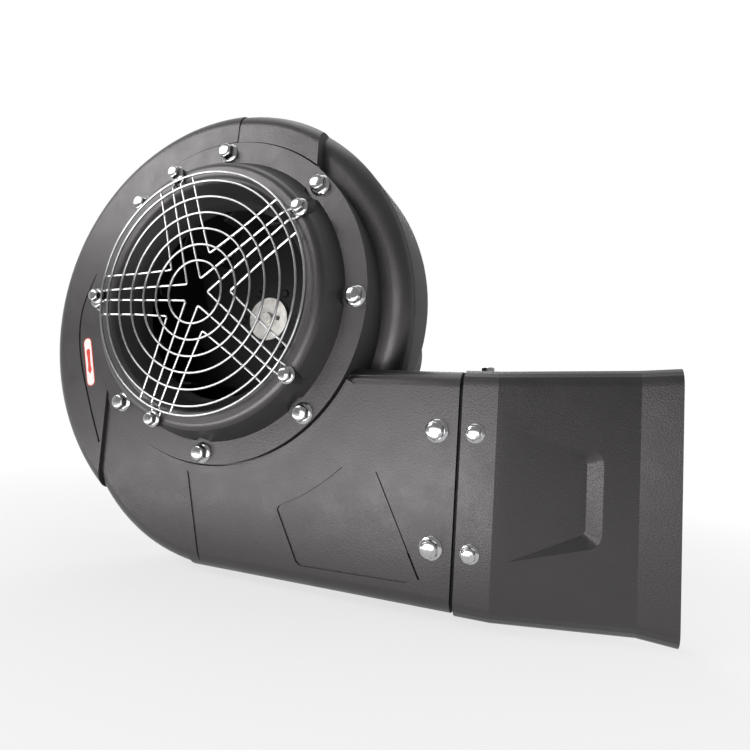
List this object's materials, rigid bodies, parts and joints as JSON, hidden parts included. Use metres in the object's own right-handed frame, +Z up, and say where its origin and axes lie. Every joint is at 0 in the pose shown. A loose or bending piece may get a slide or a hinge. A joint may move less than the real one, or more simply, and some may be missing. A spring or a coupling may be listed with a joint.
{
  "type": "centrifugal fan",
  "caption": "Scroll-housed centrifugal fan with a wire-guarded round inlet, a flat bolted nozzle on a horizontal outlet, and a flange motor on feet that drives a backward-curved impeller.",
  "frame": {"origin": "middle of the four motor foot holes, on the face that is bolted down", "axes": "+X toward the outlet, +Y from the inlet toward the motor's rear, +Z up"},
  "size_m": [0.6933, 0.502, 0.5079],
  "materials": {
    "black_plastic": "moulded, fine grain",
    "chrome": "bright plated",
    "brass": "turned",
    "steel": "zinc plated or ground",
    "motor_paint": "satin paint on castings",
    "black_paint": "satin paint on sheet metal",
    "copper": "varnished winding wire",
    "rubber": "matte",
    "black_nylon": "moulded",
    "terminal_resin": "moulded",
    "aluminium": "mill finish"
  },
  "bodies": {
    "housing": {"scroll_housing": "black_plastic", "ring_inserts": "brass", "back_inserts": "brass", "inlet_ring": "black_plastic", "guard_inserts": "brass", "ring_bolts": "chrome", "guard_rings": "chrome", "guard_spokes": "chrome", "guard_bolts": "chrome", "outlet_sleeve": "black_paint", "neck_bolts": "chrome", "neck_nuts": "steel", "nozzle": "black_plastic", "nozzle_bolts": "chrome", "nozzle_nuts": "steel", "motor_adapter": "black_paint", "adapter_bolts": "steel", "drive_shield": "motor_paint", "flange_bolts": "steel", "flange_nuts": "steel", "shaft_seal": "rubber", "motor_frame": "motor_paint", "motor_feet": "motor_paint", "foot_screws": "steel", "stator_core": "steel", "stator_windings": "copper", "drive_bearing_outer": "steel", "rear_shield": "motor_paint", "rear_bearing_outer": "steel", "wave_washer": "steel", "drive_shield_screws": "steel", "rear_shield_screws": "steel", "fan_cowl": "black_paint", "cowl_screws": "steel", "terminal_box": "motor_paint", "terminal_gasket": "rubber", "terminal_lid": "motor_paint", "lid_screws": "steel", "terminal_block": "terminal_resin", "cable_gland": "black_nylon"},
    "rotor": {"motor_shaft": "steel", "shaft_key": "steel", "rotor_core": "steel", "rotor_end_rings": "aluminium", "drive_bearing_inner": "steel", "drive_bearing_balls": "steel", "rear_bearing_inner": "steel", "rear_bearing_balls": "steel", "cooling_fan": "black_nylon", "impeller_hub": "black_paint", "hub_rivets": "black_paint", "impeller_backplate": "black_paint", "impeller_blades": "black_paint", "impeller_shroud": "black_paint", "retaining_disc": "steel", "retaining_bolt": "chrome"}
  },
  "joints": [
    {"name": "rotor_spin", "type": "hinge", "parent": "housing", "child": "rotor", "pos_m": [0, 0, 0.1], "axis": [0, -1, 0], "continuous": true}
  ]
}
